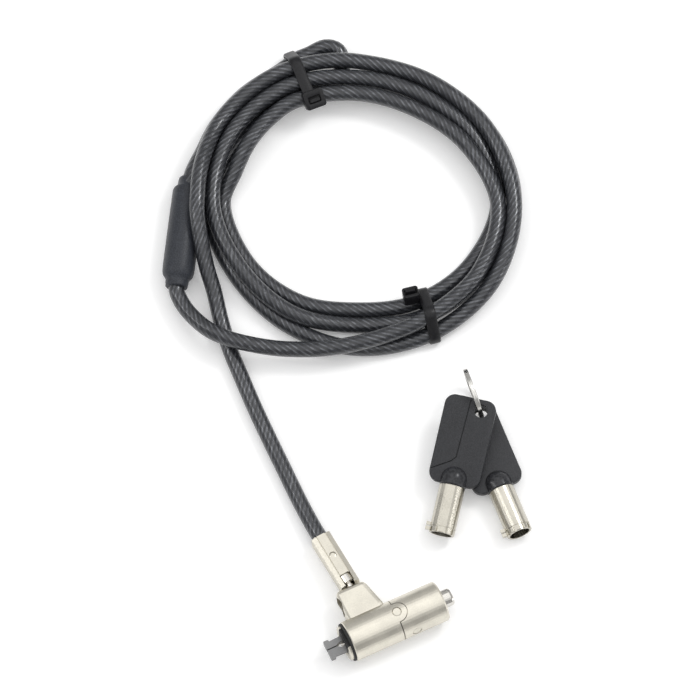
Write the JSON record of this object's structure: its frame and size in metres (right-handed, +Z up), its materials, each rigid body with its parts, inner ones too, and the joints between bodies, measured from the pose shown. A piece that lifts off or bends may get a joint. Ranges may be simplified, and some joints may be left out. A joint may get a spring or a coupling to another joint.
{
  "type": "laptop cable lock",
  "caption": "Push-to-lock barrel with hook jaws for a laptop security slot, on a coiled steel cable with an eye, and tubular keys on a ring.",
  "frame": {"origin": "on the table, under the middle of the box around the lock head and the keys, without the cable", "axes": "+Z up from the table; +X to the right and +Y away from a viewer who sees the coil behind the lock head; the lock barrel's axis lies 25.4 degrees from +X"},
  "size_m": [0.1274, 0.2302, 0.0186],
  "materials": {
    "satin_nickel": "satin nickel plate",
    "polished_nickel": "polished nickel",
    "gunmetal": "dark grey sintered steel",
    "spring_steel": "drawn wire",
    "black_rubber": "matt",
    "key_plastic": "fine spark-eroded grain",
    "sleeve_plastic": "matt moulded",
    "tie_nylon": "semi-matt nylon",
    "cable_jacket": "clear smoke jacket over twisted steel strands"
  },
  "bodies": {
    "lock_head": {"front_housing": "satin_nickel", "rear_housing": "satin_nickel", "coupling_rivet_top": "satin_nickel", "coupling_rivet_bottom": "satin_nickel", "core_retaining_pin": "satin_nickel", "front_plate": "satin_nickel", "bumper_ring": "black_rubber", "jaw_block": "gunmetal", "rod_guide": "gunmetal", "jaw_near_ear_pin": "spring_steel", "jaw_far_pin": "spring_steel", "cable_lead": "cable_jacket", "cable_tail": "cable_jacket", "cable_eye": "cable_jacket", "cable_coil": "cable_jacket", "eye_sleeve": "sleeve_plastic", "crimp_barrel": "satin_nickel", "tie_band_upper": "tie_nylon", "tie_band_lower": "tie_nylon", "tie_head_upper": "tie_nylon", "tie_head_lower": "tie_nylon"},
    "plunger": {"plunger_post": "polished_nickel", "spreader_rod": "polished_nickel", "return_spring": "spring_steel"},
    "jaw_near_ear": {"jaw_near_ear": "gunmetal"},
    "jaw_far": {"jaw_far": "gunmetal"},
    "lock_core": {"lock_core": "satin_nickel", "core_pin_1": "polished_nickel", "core_pin_2": "polished_nickel", "core_pin_3": "polished_nickel", "core_pin_4": "polished_nickel", "core_pin_5": "polished_nickel", "core_pin_6": "polished_nickel", "core_pin_7": "polished_nickel"},
    "swivel_stud": {"swivel_stud": "polished_nickel", "stud_nut": "polished_nickel"},
    "ferrule": {"cable_ferrule": "satin_nickel", "crimp_pin": "satin_nickel"},
    "key_ring": {"split_ring": "polished_nickel"},
    "key_1": {"key_head_1": "key_plastic", "key_tube_1": "satin_nickel"},
    "key_2": {"key_head_2": "key_plastic", "key_tube_2": "satin_nickel"}
  },
  "joints": [
    {"name": "plunger_press", "type": "slide", "parent": "lock_head", "child": "plunger", "axis": [-0.9033, -0.4289, 0], "range_m": [0, 0.0032], "stiffness_N_per_m": 400},
    {"name": "jaw_near_ear_spread", "type": "hinge", "parent": "lock_head", "child": "jaw_near_ear", "pos_m": [-0.02441, -0.04235, 0.00706], "axis": [0.0374, -0.0787, -0.9962], "range_deg": [0, 4.2]},
    {"name": "jaw_far_spread", "type": "hinge", "parent": "lock_head", "child": "jaw_far", "pos_m": [-0.02253, -0.04631, 0.00744], "axis": [-0.0374, 0.0787, 0.9962], "range_deg": [0, 4.2]},
    {"name": "core_turn", "type": "hinge", "parent": "lock_head", "child": "lock_core", "pos_m": [-0.0063, -0.03618, 0.00725], "axis": [0.9033, 0.4289, 0], "range_deg": [0, 90]},
    {"name": "swivel_turn", "type": "hinge", "parent": "lock_head", "child": "swivel_stud", "pos_m": [-0.02607, -0.02627, 0.00572], "axis": [-0.4893, 0.8678, -0.0869], "continuous": true},
    {"name": "ferrule_turn", "type": "hinge", "parent": "swivel_stud", "child": "ferrule", "pos_m": [-0.02607, -0.02627, 0.00572], "axis": [-0.4893, 0.8678, -0.0869], "continuous": true},
    {"name": "key_ring_lift", "type": "slide", "parent": "lock_head", "child": "key_ring", "axis": [0, 0, 1], "range_m": [0, 0.03]},
    {"name": "key_1_swing", "type": "hinge", "parent": "key_ring", "child": "key_1", "pos_m": [0.01843, 0.03602, 0.0122], "axis": [0, 0, -1], "range_deg": [0, 60]},
    {"name": "key_2_swing", "type": "hinge", "parent": "key_ring", "child": "key_2", "pos_m": [0.01864, 0.0371, 0.00495], "axis": [0, 0, 1], "range_deg": [0, 60]}
  ],
  "couplings": [
    {"joint": "jaw_near_ear_spread", "follows": "plunger_press", "rad_per_m": 21.8},
    {"joint": "jaw_far_spread", "follows": "plunger_press", "rad_per_m": 21.8}
  ]
}
